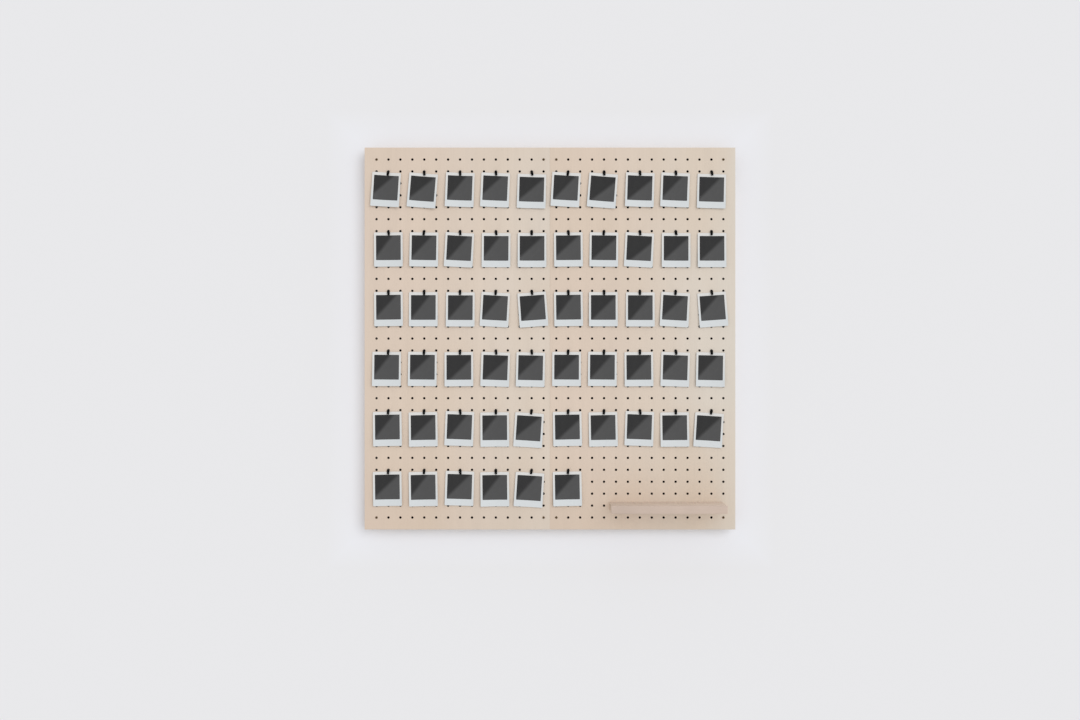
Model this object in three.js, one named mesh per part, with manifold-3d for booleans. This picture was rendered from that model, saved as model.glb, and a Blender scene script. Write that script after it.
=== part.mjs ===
// Wall-hung wooden photo pegboard. Two drilled plywood panels stand side by side on two battens.
// The hanging batten hooks over a cleat that is screwed to the wall. L-shaped pegs in the holes pinch
// instant-photo cards against the panels, and a small shelf plugs in by two steel pins.
// Millimetres, +Z up, +X to the right, its front towards -Y. The origin is the centre of the cleat's
// back face.
import * as THREE from "three";
import { mergeGeometries, mergeVertices } from "three/addons/utils/BufferGeometryUtils.js";
import Module from "manifold-3d";

const wasm = await Module();
wasm.setup();

// Panels with a square grid of peg holes
const PITCH = 30;
const PANEL_COLUMNS = 15;
const PANEL_ROWS = 31;
const EDGE_MARGIN = 30; // outer edges to the nearest hole centres
const SEAM_MARGIN = 15.9; // inner edges to the nearest hole centres
const SEAM_GAP = 0.1; // between the two panels
const PANEL_THICKNESS = 12;
const HOLE_DIAMETER = 5;

// Battens and wall cleat
const STANDOFF = 24; // wall to the panels' back, which is the battens' thickness
const BATTEN_HEIGHT = 36; // of the face on the panels
const BATTEN_INSET = 16; // panel edge to batten end
const BATTEN_PEG_GAP = 4.7; // hanging batten to the tails of the pegs below it
const CLEAT_LENGTH = 700;
const CLEAT_HEIGHT = 40; // of the face on the wall
const CLEAT_PEG_GAP = 4; // cleat to the tails of the pegs in front of it
const CLEAT_GAP = 0.3; // straight up between the two bevels
const WALL_HOLE_DIAMETER = 5;
const WALL_HOLE_SINK = 10; // countersink diameter
const WALL_HOLE_INSET = 80; // cleat end to the outer holes
const WALL_HOLE_COUNT = 4;

// Screws that hold the panels to the battens
const SCREW_CLEARANCE = 0.7; // shank to panel hole, all round
const SCREW_BEARING = 0.5; // head over the panel, all round
const SCREW_COVER = 6; // wood left between the tip and the wall
const SCREW_HEAD_HEIGHT = 1.6;
const SCREW_RIM = 0.6; // upright part of the head
const SCREW_SHOULDER = 1.3; // sloped part of the head, all round
const SCREW_POINT = 5; // length of the tapered tip
const SCREW_SEAT_GAP = 0.3; // head to panel
const PILOT_CLEARANCE = 0.3; // round the shank and past its tip
const ROUND_SIDES = 8;

// Photo cards, each with a dark picture on its front
const CARD_WIDTH = 72;
const CARD_HEIGHT = 86;
const CARD_THICKNESS = 0.6;
const CARD_GAP = 0.3; // card to panel
const CARD_STEM_GAP = 0.7; // peg stem to the card's top edge, before the drop of each card
const CARD_SIDE_GAP = 9; // least space between the cards of a row
const CARD_ROW_GAP = 48; // least space between the rows
const FIRST_PEG_ROW = 1; // hole row of the first row of pegs, counted from 0
const PICTURE_SIZE = 62;
const PICTURE_THICKNESS = 0.15;
const PICTURE_TOP = 7.5; // white border above the picture

// Pegs
const PEG_CLEARANCE = 0.2; // round the stem
const PEG_TAIL = 5; // of the stem behind the panel
const PEG_PINCH = 0.15; // picture's front to the peg's leg
const PEG_GRIP = 7.8; // of the leg over the card
const PEG_CREASE = 0.3; // inner radius of the elbow
const PEG_SIDES = 6;

// Links that make one solid of a row's cards, pictures or pegs
const CARD_TIE_THICKNESS = 0.3;
const CARD_TIE_HEIGHT = 1.2;
const PICTURE_TIE_HEIGHT = 0.5;
const PEG_RAIL = 1.6; // square section

// Shelf
const SHELF_LENGTH = 284;
const SHELF_DEPTH = 80;
const SHELF_THICKNESS = 19;
const SHELF_GAP = 0.3; // shelf to panel
const SHELF_CARD_GAP = 20; // least space between the shelf's end and the cards beside it
const SHELF_PIN_ROW = 1; // hole row of its pins, counted up from the lowest
const SHELF_PIN_COLUMN = 2; // hole column of its right pin, counted from the panel's right edge
const SHELF_PIN_INSET = 45; // least distance from the shelf's ends to its pins
const SHELF_SHIFT = 5; // to the right of the middle between its pins
const PIN_CLEARANCE = 0.2; // round the pins and past their inner ends
const PIN_TAIL = 6; // behind the panel
const PIN_DEPTH = 32; // in the shelf
const PIN_CHAMFER = 1;

// How the cards of each row hang, from the left, the same on both panels:
// [tilt of the card, shift to the right, drop, lean of the peg], in degrees clockwise and millimetres.
const HANGS = [
  [[3.2, -4, 0, 9], [4.5, -1, 2.5, -4], [2, 1, 0.5, -5], [2.4, 0, 1, -7], [1.6, 1, 4, -12]],
  [[-0.5, 0, 0.5, -8], [0.7, 0, 0.5, 8], [3, 0, 1.5, -6], [0.4, 1, 2, -10], [0, 1, 2, -1]],
  [[-0.8, 0, 0, -3], [0, -2, 0.5, 0], [0.2, 1, 1, -1], [3.2, 0, 1.5, 4], [-4, 0, 1.5, -9]],
  [[0.3, -4, 0.5, 4], [0.5, -4, 0.5, 4], [-0.4, -3, 1, 0], [1.9, 0, 1.5, -9], [1.2, -2, 2, -5]],
  [[-1.1, -3, 1, 5], [-1, -3, 2, 5], [2.1, 0, 0.5, -8], [-0.5, -3, 2.5, -2], [3.6, -5, 4, 8]],
  [[-1, -3, 1.5, 5], [-1.1, -3, 2, 3], [1.7, 0, 0.5, -9], [-0.7, -3, 2.5, -2], [3.6, -4, 4, 9]],
];

// Sizes that fit other sizes
const PEG_DIAMETER = HOLE_DIAMETER - 2 * PEG_CLEARANCE;
const PIN_DIAMETER = HOLE_DIAMETER - 2 * PIN_CLEARANCE;
const SCREW_SHANK = HOLE_DIAMETER - 2 * SCREW_CLEARANCE;
const SCREW_HEAD = HOLE_DIAMETER + 2 * SCREW_BEARING;
const SCREW_LENGTH = PANEL_THICKNESS + STANDOFF - SCREW_COVER; // below the head
const CARD_DROP = PEG_DIAMETER / 2 + CARD_STEM_GAP; // hole centre to the highest top edge of a card
const CARD_HOLE_COLUMNS = Math.ceil((CARD_WIDTH + CARD_SIDE_GAP) / PITCH); // for each card
const CARD_HOLE_ROWS = Math.ceil((CARD_HEIGHT + CARD_ROW_GAP) / PITCH); // for each row of cards
const CARDS_ON_PANEL = Math.floor(PANEL_COLUMNS / CARD_HOLE_COLUMNS);
const CARD_ROWS = Math.floor((PANEL_ROWS - FIRST_PEG_ROW) / CARD_HOLE_ROWS);
const PANEL_WIDTH = EDGE_MARGIN + (PANEL_COLUMNS - 1) * PITCH + SEAM_MARGIN;
const PANEL_HEIGHT = 2 * EDGE_MARGIN + (PANEL_ROWS - 1) * PITCH;
const BATTEN_LENGTH = 2 * PANEL_WIDTH + SEAM_GAP - 2 * BATTEN_INSET;
const BATTEN_REACH = PITCH - PEG_DIAMETER / 2 - PEG_TAIL - BATTEN_PEG_GAP; // its screws to its pegs edge
const CLEAT_THICKNESS = STANDOFF - PEG_TAIL - CLEAT_PEG_GAP;

// Places that follow
const BACK_Y = -STANDOFF;
const FRONT_Y = BACK_Y - PANEL_THICKNESS;
const FIRST_ROW_Z = CLEAT_HEIGHT / 2 + CLEAT_GAP + STANDOFF + BATTEN_REACH;
const SCREW_COLUMNS = [[0, 0], [0, PANEL_COLUMNS - 1], [1, 0], [1, PANEL_COLUMNS - 1]];
const CUT = 1; // how far a cutter reaches past the face that it cuts

const PLYWOOD = { color: 0xd9c8b6, roughness: 0.6, metalness: 0 };
const BATTEN_WOOD = { color: 0xcdb595, roughness: 0.7, metalness: 0 };
const SHELF_WOOD = { color: 0xcbb5a6, roughness: 0.55, metalness: 0 };
const CARD_WHITE = { color: 0xe4e5e6, roughness: 0.4, metalness: 0 };
const PICTURE_DARK = { color: 0x3c3c3d, roughness: 0.25, metalness: 0 };
const PEG_BLACK = { color: 0x0c0b0a, roughness: 0.5, metalness: 0 };
const BRASS = { color: 0x9a8260, roughness: 0.4, metalness: 1 };
const STEEL = { color: 0xa8a8a8, roughness: 0.35, metalness: 1 };

const board = new THREE.Group();

function addNode(name, geometry, finish, { x = 0, y = 0, z = 0, turn = 0 } = {}) {
  const mesh = new THREE.Mesh(geometry, new THREE.MeshStandardMaterial(finish));
  mesh.name = name;
  mesh.position.set(x, y, z);
  mesh.rotation.y = turn;
  board.add(mesh);
}

const moved = (x, y, z) => new THREE.Matrix4().makeTranslation(x, y, z);

const matrixOf = ({ x, y, z, turn }) => moved(x, y, z).multiply(new THREE.Matrix4().makeRotationY(turn));

// Solids to cut and join

function solidOf(geometry, matrix = new THREE.Matrix4()) {
  const bare = new THREE.BufferGeometry();
  bare.setAttribute("position", geometry.getAttribute("position").clone());
  bare.setIndex(geometry.getIndex());
  bare.applyMatrix4(matrix);
  const merged = mergeVertices(bare);
  return new wasm.Manifold(
    new wasm.Mesh({
      numProp: 3,
      vertProperties: merged.getAttribute("position").array,
      triVerts: new Uint32Array(merged.getIndex().array),
    }),
  );
}

function geometryOf(solid) {
  const mesh = solid.getMesh();
  const geometry = new THREE.BufferGeometry();
  geometry.setAttribute("position", new THREE.BufferAttribute(mesh.vertProperties, 3));
  geometry.setIndex(new THREE.BufferAttribute(mesh.triVerts, 1));
  return geometry;
}

// A box from its lowest to its highest corner
function boxBetween(low, high) {
  const [sx, sy, sz] = high.map((value, axis) => value - low[axis]);
  return new THREE.BoxGeometry(sx, sy, sz).translate(low[0] + sx / 2, low[1] + sy / 2, low[2] + sz / 2);
}

// A turned piece along +Y from [radius, y] points, the first and the last on the axis
function turned(points) {
  return new THREE.LatheGeometry(points.map(([radius, y]) => new THREE.Vector2(radius, y)), ROUND_SIDES);
}

// A bar along X, centred, from its [y, z] outline
function barAlongX(outline, length) {
  const shape = new THREE.Shape(outline.map(([y, z]) => new THREE.Vector2(y, z)));
  const bar = new THREE.ExtrudeGeometry(shape, { depth: length, bevelEnabled: false });
  bar.translate(0, 0, -length / 2);
  const [acrossY, upZ, alongX] = [[0, 1, 0], [0, 0, 1], [1, 0, 0]].map((axis) => new THREE.Vector3(...axis));
  return bar.applyMatrix4(new THREE.Matrix4().makeBasis(acrossY, upZ, alongX));
}

// The grid of holes

const rowZ = (row) => FIRST_ROW_Z - row * PITCH;

function columnX(panel, column) {
  const fromSeam = panel === 0 ? PANEL_COLUMNS - 1 - column : column;
  return (panel === 0 ? -1 : 1) * (SEAM_GAP / 2 + SEAM_MARGIN + fromSeam * PITCH);
}

// Places of the shelf

function shelfPlaces() {
  const rightColumn = PANEL_COLUMNS - 1 - SHELF_PIN_COLUMN;
  const leftColumn = rightColumn - Math.floor((SHELF_LENGTH - 2 * SHELF_PIN_INSET) / PITCH);
  const pins = [leftColumn, rightColumn].map((column) => columnX(1, column));
  const middle = (pins[0] + pins[1]) / 2 + SHELF_SHIFT;
  const z = rowZ(PANEL_ROWS - 1 - SHELF_PIN_ROW);
  return { pins, left: middle - SHELF_LENGTH / 2, right: middle + SHELF_LENGTH / 2, z };
}

// How the cards hang

// Places of the card and the peg at a column and row of cards. A card's own origin is the middle of its
// top edge and a peg's own origin is its hole's centre, both on the panels' front.
function hangAt(column, row) {
  const panel = Math.floor(column / CARDS_ON_PANEL);
  const onPanel = column % CARDS_ON_PANEL;
  const hangs = HANGS[row % HANGS.length];
  const [tilt, shift, drop, lean] = hangs[onPanel % hangs.length];
  const x = columnX(panel, Math.floor(CARD_HOLE_COLUMNS / 2) + onPanel * CARD_HOLE_COLUMNS);
  const z = rowZ(FIRST_PEG_ROW + row * CARD_HOLE_ROWS);
  const { degToRad } = THREE.MathUtils;
  return {
    card: { x: x + shift, y: FRONT_Y, z: z - CARD_DROP - drop, turn: degToRad(tilt) },
    peg: { x, y: FRONT_Y, z, turn: degToRad(lean) },
  };
}

// The lowest row has cards only to the left of the shelf.
function hangsOfRow(row) {
  const hangs = Array.from({ length: 2 * CARDS_ON_PANEL }, (_, column) => hangAt(column, row));
  if (row < CARD_ROWS - 1) return hangs;
  const end = shelfPlaces().left - SHELF_CARD_GAP - CARD_WIDTH / 2;
  return hangs.filter(({ peg }) => peg.x < end);
}

const allHangs = Array.from({ length: CARD_ROWS }, (_, row) => hangsOfRow(row)).flat();

// Whether a card lies over the whole of the hole at x and z
function isCovered(x, z) {
  const reach = HOLE_DIAMETER / Math.SQRT2;
  return allHangs.some(({ card }) => {
    const point = new THREE.Vector3(x, FRONT_Y, z).applyMatrix4(matrixOf(card).invert());
    const beside = Math.abs(point.x) + reach < CARD_WIDTH / 2;
    return beside && point.z < -reach && point.z > reach - CARD_HEIGHT;
  });
}

// Panels, drilled where no card covers the hole

function panelGeometry(panel) {
  const inner = SEAM_GAP / 2;
  const outer = inner + PANEL_WIDTH;
  const [left, right] = panel === 0 ? [-outer, -inner] : [inner, outer];
  const top = rowZ(0) + EDGE_MARGIN;
  const slab = boxBetween([left, FRONT_Y, top - PANEL_HEIGHT], [right, BACK_Y, top]);
  const half = HOLE_DIAMETER / 2;
  const holes = [];
  for (let column = 0; column < PANEL_COLUMNS; column++) {
    for (let row = 0; row < PANEL_ROWS; row++) {
      const x = columnX(panel, column);
      const z = rowZ(row);
      if (isCovered(x, z)) continue;
      holes.push(boxBetween([x - half, FRONT_Y - CUT, z - half], [x + half, BACK_Y + CUT, z + half]));
    }
  }
  return geometryOf(solidOf(slab).subtract(solidOf(mergeGeometries(holes))));
}

function addPanels() {
  addNode("panel_left", panelGeometry(0), PLYWOOD);
  addNode("panel_right", panelGeometry(1), PLYWOOD);
}

// Battens, cleat and screws

function withPilotHoles(bar, z) {
  const radius = SCREW_SHANK / 2 + PILOT_CLEARANCE;
  const depth = SCREW_LENGTH - PANEL_THICKNESS + PILOT_CLEARANCE;
  const drill = turned([[0, -CUT], [radius, -CUT], [radius, depth], [0, depth]]);
  return geometryOf(
    SCREW_COLUMNS.reduce(
      (solid, [panel, column]) => solid.subtract(solidOf(drill, moved(columnX(panel, column), BACK_Y, z))),
      solidOf(bar),
    ),
  );
}

// The hanging batten's lower face falls at 45 degrees from the panels to the wall.
function addBattens() {
  const low = rowZ(0) - BATTEN_REACH;
  const top = low + BATTEN_HEIGHT;
  const hook = barAlongX([[BACK_Y, low], [0, low - STANDOFF], [0, top], [BACK_Y, top]], BATTEN_LENGTH);
  addNode("hanging_batten", withPilotHoles(hook, rowZ(0)), BATTEN_WOOD);

  const high = rowZ(PANEL_ROWS - 1) + BATTEN_REACH;
  const bottom = high - BATTEN_HEIGHT;
  const plain = barAlongX([[BACK_Y, bottom], [0, bottom], [0, high], [BACK_Y, high]], BATTEN_LENGTH);
  addNode("spacer_batten", withPilotHoles(plain, rowZ(PANEL_ROWS - 1)), BATTEN_WOOD);
}

function addCleat() {
  const half = CLEAT_HEIGHT / 2;
  const front = -CLEAT_THICKNESS;
  const outline = [[front, -half], [0, -half], [0, half], [front, half + CLEAT_THICKNESS]];
  const hole = WALL_HOLE_DIAMETER / 2;
  const sink = WALL_HOLE_SINK / 2;
  const through = CLEAT_THICKNESS + CUT;
  const drill = turned([[0, -CUT], [sink + CUT, -CUT], [hole, sink - hole], [hole, through], [0, through]]);
  const span = CLEAT_LENGTH - 2 * WALL_HOLE_INSET;
  let solid = solidOf(barAlongX(outline, CLEAT_LENGTH));
  for (let i = 0; i < WALL_HOLE_COUNT; i++) {
    const x = span * (i / (WALL_HOLE_COUNT - 1) - 0.5);
    solid = solid.subtract(solidOf(drill, moved(x, front, 0)));
  }
  addNode("wall_cleat", geometryOf(solid), BATTEN_WOOD);
}

function addScrews() {
  const seat = -SCREW_SEAT_GAP;
  const shank = SCREW_SHANK / 2;
  const profile = [
    [0, seat - SCREW_HEAD_HEIGHT],
    [SCREW_HEAD / 2 - SCREW_SHOULDER, seat - SCREW_HEAD_HEIGHT],
    [SCREW_HEAD / 2, seat - SCREW_RIM],
    [SCREW_HEAD / 2, seat],
    [shank, seat],
    [shank, SCREW_LENGTH - SCREW_POINT],
    [0, SCREW_LENGTH],
  ];
  for (const [end, row] of [["top", 0], ["bottom", PANEL_ROWS - 1]]) {
    SCREW_COLUMNS.forEach(([panel, column], i) => {
      const place = { x: columnX(panel, column), y: FRONT_Y, z: rowZ(row) };
      addNode(`panel_screw_${end}_${i + 1}`, turned(profile), BRASS, place);
    });
  }
}

// Cards, pictures and pegs, each in its own frame

function cardGeometry() {
  const half = CARD_WIDTH / 2;
  return boxBetween([-half, -CARD_GAP - CARD_THICKNESS, -CARD_HEIGHT], [half, -CARD_GAP, 0]);
}

function pictureGeometry() {
  const half = PICTURE_SIZE / 2;
  const back = -CARD_GAP - CARD_THICKNESS;
  const bottom = -PICTURE_TOP - PICTURE_SIZE;
  return boxBetween([-half, back - PICTURE_THICKNESS, bottom], [half, back, -PICTURE_TOP]);
}

// The stem runs through the panel, then an elbow leads to the leg in front of the card.
function pegGeometry() {
  const radius = PEG_DIAMETER / 2;
  const bend = radius + PEG_CREASE;
  const legY = -CARD_GAP - CARD_THICKNESS - PICTURE_THICKNESS - PEG_PINCH - radius;
  const alongStem = [0, 1];
  const alongLeg = [-1, 0];
  return tubeOf([
    { y: PANEL_THICKNESS + PEG_TAIL, z: 0, outward: alongStem },
    { y: legY + bend, z: 0, outward: alongStem },
    { y: legY, z: -bend, outward: alongLeg },
    { y: legY, z: -CARD_DROP - PEG_GRIP, outward: alongLeg },
  ], radius);
}

// A closed tube through rings at y and z, each with the [y, z] direction to the outside of the bend
function tubeOf(rings, radius) {
  const points = [];
  const faces = [];
  rings.forEach(({ y, z, outward }, ring) => {
    for (let side = 0; side < PEG_SIDES; side++) {
      const angle = (2 * Math.PI * side) / PEG_SIDES;
      const reach = radius * Math.cos(angle);
      points.push(radius * Math.sin(angle), y + reach * outward[0], z + reach * outward[1]);
      if (ring === 0) continue;
      const here = ring * PEG_SIDES + side;
      const next = ring * PEG_SIDES + ((side + 1) % PEG_SIDES);
      faces.push(here, next, here - PEG_SIDES, next, next - PEG_SIDES, here - PEG_SIDES);
    }
  });
  const end = (rings.length - 1) * PEG_SIDES;
  for (let side = 1; side + 1 < PEG_SIDES; side++) {
    faces.push(0, side, side + 1, end, end + side + 1, end + side);
  }
  const geometry = new THREE.BufferGeometry();
  geometry.setAttribute("position", new THREE.Float32BufferAttribute(points, 3));
  geometry.setIndex(faces);
  return geometry;
}

// A row of cards or pictures as one solid, with a tie from each one's centre to the next
function tiedRow(hangs, geometry, tieThickness, tieHeight) {
  geometry.computeBoundingBox();
  const centre = geometry.boundingBox.getCenter(new THREE.Vector3());
  const matrices = hangs.map(({ card }) => matrixOf(card));
  const centres = matrices.map((matrix) => centre.clone().applyMatrix4(matrix));
  const pieces = matrices.map((matrix) => solidOf(geometry, matrix));
  for (let i = 1; i < centres.length; i++) {
    const along = centres[i].clone().sub(centres[i - 1]);
    const middle = centres[i].clone().add(centres[i - 1]).multiplyScalar(0.5);
    const turn = -Math.atan2(along.z, along.x);
    const tie = new THREE.BoxGeometry(along.length(), tieThickness, tieHeight);
    pieces.push(solidOf(tie, matrixOf({ ...middle, turn })));
  }
  return geometryOf(pieces.reduce((solid, piece) => solid.add(piece)));
}

// A row of pegs as one solid, with a rail through their tails behind the panels
function railedRow(hangs) {
  const first = hangs[0].peg;
  const last = hangs[hangs.length - 1].peg;
  const half = PEG_RAIL / 2;
  const y = BACK_Y + PEG_TAIL - PEG_RAIL;
  const rail = boxBetween([first.x, y - half, first.z - half], [last.x, y + half, last.z + half]);
  const pegs = hangs.map(({ peg }) => solidOf(pegGeometry(), matrixOf(peg)));
  return geometryOf(pegs.reduce((solid, peg) => solid.add(peg), solidOf(rail)));
}

// The cards, pictures and pegs of the lowest row are loose. The rows above are one solid each.
function addPhotos() {
  const lowest = CARD_ROWS - 1;
  for (let row = 0; row < lowest; row++) {
    const hangs = hangsOfRow(row);
    const cards = tiedRow(hangs, cardGeometry(), CARD_TIE_THICKNESS, CARD_TIE_HEIGHT);
    const pictures = tiedRow(hangs, pictureGeometry(), PICTURE_THICKNESS, PICTURE_TIE_HEIGHT);
    addNode(`photo_cards_row_${row + 1}`, cards, CARD_WHITE);
    addNode(`pictures_row_${row + 1}`, pictures, PICTURE_DARK);
    addNode(`pegs_row_${row + 1}`, railedRow(hangs), PEG_BLACK);
  }
  hangsOfRow(lowest).forEach(({ card, peg }, column) => {
    const label = `${CARD_ROWS}_${column + 1}`;
    addNode(`photo_card_${label}`, cardGeometry(), CARD_WHITE, card);
    addNode(`picture_${label}`, pictureGeometry(), PICTURE_DARK, card);
    addNode(`peg_${label}`, pegGeometry(), PEG_BLACK, peg);
  });
}

// Shelf on two pins

function addShelf() {
  const { pins, left, right, z } = shelfPlaces();
  const back = FRONT_Y - SHELF_GAP;
  const half = SHELF_THICKNESS / 2;
  const radius = PIN_DIAMETER / 2;
  const bore = radius + PIN_CLEARANCE;
  const drill = turned([[0, -PIN_DEPTH], [bore, -PIN_DEPTH], [bore, CUT], [0, CUT]]);
  const plank = boxBetween([left, back - SHELF_DEPTH, z - half], [right, back, z + half]);
  const solid = pins.reduce((cut, x) => cut.subtract(solidOf(drill, moved(x, back, z))), solidOf(plank));
  addNode("shelf_plank", geometryOf(solid), SHELF_WOOD);

  const inner = PIN_CLEARANCE - PIN_DEPTH - SHELF_GAP;
  const outer = PANEL_THICKNESS + PIN_TAIL;
  const chamfered = [radius - PIN_CHAMFER, outer];
  const profile = [[0, inner], [radius, inner], [radius, outer - PIN_CHAMFER], chamfered, [0, outer]];
  addNode("shelf_pin_left", turned(profile), STEEL, { x: pins[0], y: FRONT_Y, z });
  addNode("shelf_pin_right", turned(profile), STEEL, { x: pins[1], y: FRONT_Y, z });
}

addCleat();
addBattens();
addPanels();
addScrews();
addPhotos();
addShelf();

export default board;
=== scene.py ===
import math
import random

import bmesh
import bpy
from mathutils import Matrix, Vector


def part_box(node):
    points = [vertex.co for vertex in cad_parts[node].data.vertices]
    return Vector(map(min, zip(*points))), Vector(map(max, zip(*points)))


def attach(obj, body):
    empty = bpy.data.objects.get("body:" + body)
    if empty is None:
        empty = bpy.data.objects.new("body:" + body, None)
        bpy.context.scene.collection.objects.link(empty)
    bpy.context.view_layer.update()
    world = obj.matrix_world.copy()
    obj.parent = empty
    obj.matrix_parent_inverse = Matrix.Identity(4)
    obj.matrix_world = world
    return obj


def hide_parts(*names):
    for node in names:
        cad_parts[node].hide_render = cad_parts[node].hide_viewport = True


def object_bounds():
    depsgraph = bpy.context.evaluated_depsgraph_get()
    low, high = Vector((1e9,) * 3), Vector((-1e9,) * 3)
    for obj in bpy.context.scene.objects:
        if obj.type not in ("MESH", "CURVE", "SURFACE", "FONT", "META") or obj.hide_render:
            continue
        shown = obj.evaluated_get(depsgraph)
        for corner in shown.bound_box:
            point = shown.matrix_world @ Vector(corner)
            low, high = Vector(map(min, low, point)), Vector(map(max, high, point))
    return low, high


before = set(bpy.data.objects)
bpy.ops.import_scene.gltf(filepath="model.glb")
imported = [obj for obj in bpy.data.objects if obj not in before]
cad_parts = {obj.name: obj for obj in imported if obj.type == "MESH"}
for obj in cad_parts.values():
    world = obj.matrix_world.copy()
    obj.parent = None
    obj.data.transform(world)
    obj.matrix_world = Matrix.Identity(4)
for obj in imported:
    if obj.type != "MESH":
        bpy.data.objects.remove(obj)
CAD_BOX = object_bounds()

# A wall-hung board of two drilled plywood panels, with photo cards on pegs and a small shelf.
# In metres, with +Z up and its front towards -Y.
MM = 0.001

# Panels with a square grid of peg holes
PITCH = 30 * MM
PANEL_COLUMNS = 15
PANEL_ROWS = 31
EDGE_MARGIN = 30 * MM  # outer edges to the nearest hole centres
HOLE_RADIUS = 3 * MM
SCREW_HOLE_RADIUS = 2.5 * MM  # of the corner holes, which take screws
HOLE_EASE = 0.1 * MM  # chamfer at both ends of a hole
HOLE_SIDES = 20
PANEL_EASE = 0.2 * MM  # chamfer along the panel's edges
PLY_COUNT = 9
FACE, EDGE, HOLE = range(3)  # finishes of a panel
MAP_FILL = 0.98  # share of the flat map's height that a panel takes

# Photo cards and the pictures on them
CARD_WIDTH = 72 * MM
CARD_HEIGHT = 86 * MM
CARD_THICKNESS = 0.6 * MM
CARD_CORNER = 2 * MM
CARD_GAP = 0.3 * MM  # card to panel, at the peg
CARD_DROP = 3 * MM  # hole centre to the card's top edge, before the drop of each card
CARD_LIFT = (2 * MM, 4.5 * MM)  # how far the lower edge stands off the panel
CARD_LIFT_POWER = 1.6  # over 1, so a card leaves the panel slowly at first
CARD_CURL = (1.5 * MM, 3.2 * MM)  # how far the sides stand off the middle
CARD_TWIST = 0.8 * MM  # most that the lower corners turn in or out
CARD_STEPS = (7, 9)  # across and down
FIRST_PEG_ROW = 1  # hole row of the first row of pegs, counted from 0
CARD_HOLE_COLUMNS = 3  # for each card
CARD_HOLE_ROWS = 5  # for each row of cards
PICTURE_SIZE = 62 * MM
PICTURE_TOP = 7.5 * MM  # white border above the picture
PICTURE_THICKNESS = 0.15 * MM
PICTURE_RIM = 1.2 * MM  # darker line round the picture
PICTURE_STEPS = (6, 6)
PAINTED_SHEEN_SLOPE = (41, 53)  # degrees, of the line between the dark part and the lighter part, which is a painted reflection
PAINTED_SHEEN_FOOT = (-0.19, 0.36, 0.06)  # least, most and usual height of that line at the left, as a share

# Pegs
PEG_RADIUS = 2.3 * MM
PEG_SWELL = 1.1 * MM  # more half width at the elbow
PEG_SWELL_START = 0.1  # share of the way from the panel to the elbow
PEG_LEG_SWELL = 0.45 * MM  # more half width at the leg's end
PEG_TAIL = 5 * MM  # behind the panel
PEG_LEG_GAP = 1.2 * MM  # panel to the leg
PEG_CREASE = 0.3 * MM  # inner radius of the elbow
PEG_REACH = 10.8 * MM  # hole centre to the leg's end
PEG_CHAMFER = 0.5 * MM
PEG_ROUNDING = 0.8 * MM  # round the leg's end
PEG_SIDES = 16

# Woodwork and fasteners
SHELF_EASE = 0.7 * MM
BATTEN_EASE = 0.8 * MM
EASE_STEPS = 3
END_FACING = 0.9  # a bar's face belongs to its end if its normal has more than this along X
SIDE_FACING = 0.6  # and to its third side if it has more than this towards that side
CLEAT_HOLES = 4
CLEAT_HOLE_INSET = 80 * MM  # cleat end to the outer holes
CLEAT_HOLE_RADIUS = 2.5 * MM
CLEAT_SINK_RADIUS = 5 * MM
SCREWS_ACROSS = 4
SCREW_TURN = 37  # degrees, from one screw's cross to the next
SCREW_SHANK = 1.8 * MM  # radius over the thread
SCREW_CORE = 1.35 * MM
SCREW_THREAD = 1.6 * MM  # from one turn to the next
SCREW_HEAD = 3 * MM  # radius
SCREW_HEAD_HEIGHT = 1.6 * MM
SCREW_RIM = 0.6 * MM
SCREW_POINT = 5 * MM
SCREW_SLOT = (0.8 * MM, 3.6 * MM, 0.9 * MM)  # width, length and depth of the cross in its head
PIN_CHAMFER = 1 * MM
OVERSHOOT = 1 * MM  # how far a cutter reaches past the face that it cuts
PLACE_DIGITS = 5  # decimals of a metre to which corners are compared

# Smoothness of all pieces
ROUND_SIDES = 32
QUARTER_STEPS = 8  # of an elbow, a rounding or a dome
SHARP = 40  # degrees between faces from which an edge stays sharp

# How the cards of each row hang, from the left, the same on both panels:
# [tilt of the card, shift to the right, drop, lean of the peg], in degrees clockwise and millimetres.
HANGS = [
    [[3.2, -4, 0, 9], [4.5, -1, 2.5, -4], [2, 1, 0.5, -5], [2.4, 0, 1, -7], [1.6, 1, 4, -12]],
    [[-0.5, 0, 0.5, -8], [0.7, 0, 0.5, 8], [3, 0, 1.5, -6], [0.4, 1, 2, -10], [0, 1, 2, -1]],
    [[-0.8, 0, 0, -3], [0, -2, 0.5, 0], [0.2, 1, 1, -1], [3.2, 0, 1.5, 4], [-4, 0, 1.5, -9]],
    [[0.3, -4, 0.5, 4], [0.5, -4, 0.5, 4], [-0.4, -3, 1, 0], [1.9, 0, 1.5, -9], [1.2, -2, 2, -5]],
    [[-1.1, -3, 1, 5], [-1, -3, 2, 5], [2.1, 0, 0.5, -8], [-0.5, -3, 2.5, -2], [3.6, -5, 4, 8]],
    [[-1, -3, 1.5, 5], [-1.1, -3, 2, 3], [1.7, 0, 0.5, -9], [-0.7, -3, 2.5, -2], [3.6, -4, 4, 9]],
]
LOOSE_CARDS = 6  # in the lowest row, where each card and peg is a body of its own
SEED = 20

# Stage
BACKDROP_GAP = 0.5 * MM  # backdrop behind the cleat's back face
STAGE_SIZE = 9
FLOOR_DROP = 0.7  # below the board
SHADE_REACH = 120 * MM  # how far the backdrop's painted shade, and its painted tone beside the board, run on both sides of the board's edges
CAMERA_PLACE = (-0.025, -2.736, -0.4417)
CAMERA_LENS = 35.8
SUN_SPREAD = math.radians(50)
KEY_FROM = (0.48, -1, 0.32)  # towards the key light
KEY_LEVEL = 1.24
KEY_PAST_SHELF = 0.6  # share of the key light in which the shelf casts no shadow
BACK_FROM = (-0.3, 0.9, 0.4)  # towards the light from behind
BACK_LEVEL = 0.9
AMBIENT_LEVEL = 0.665


# Meshes


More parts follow.
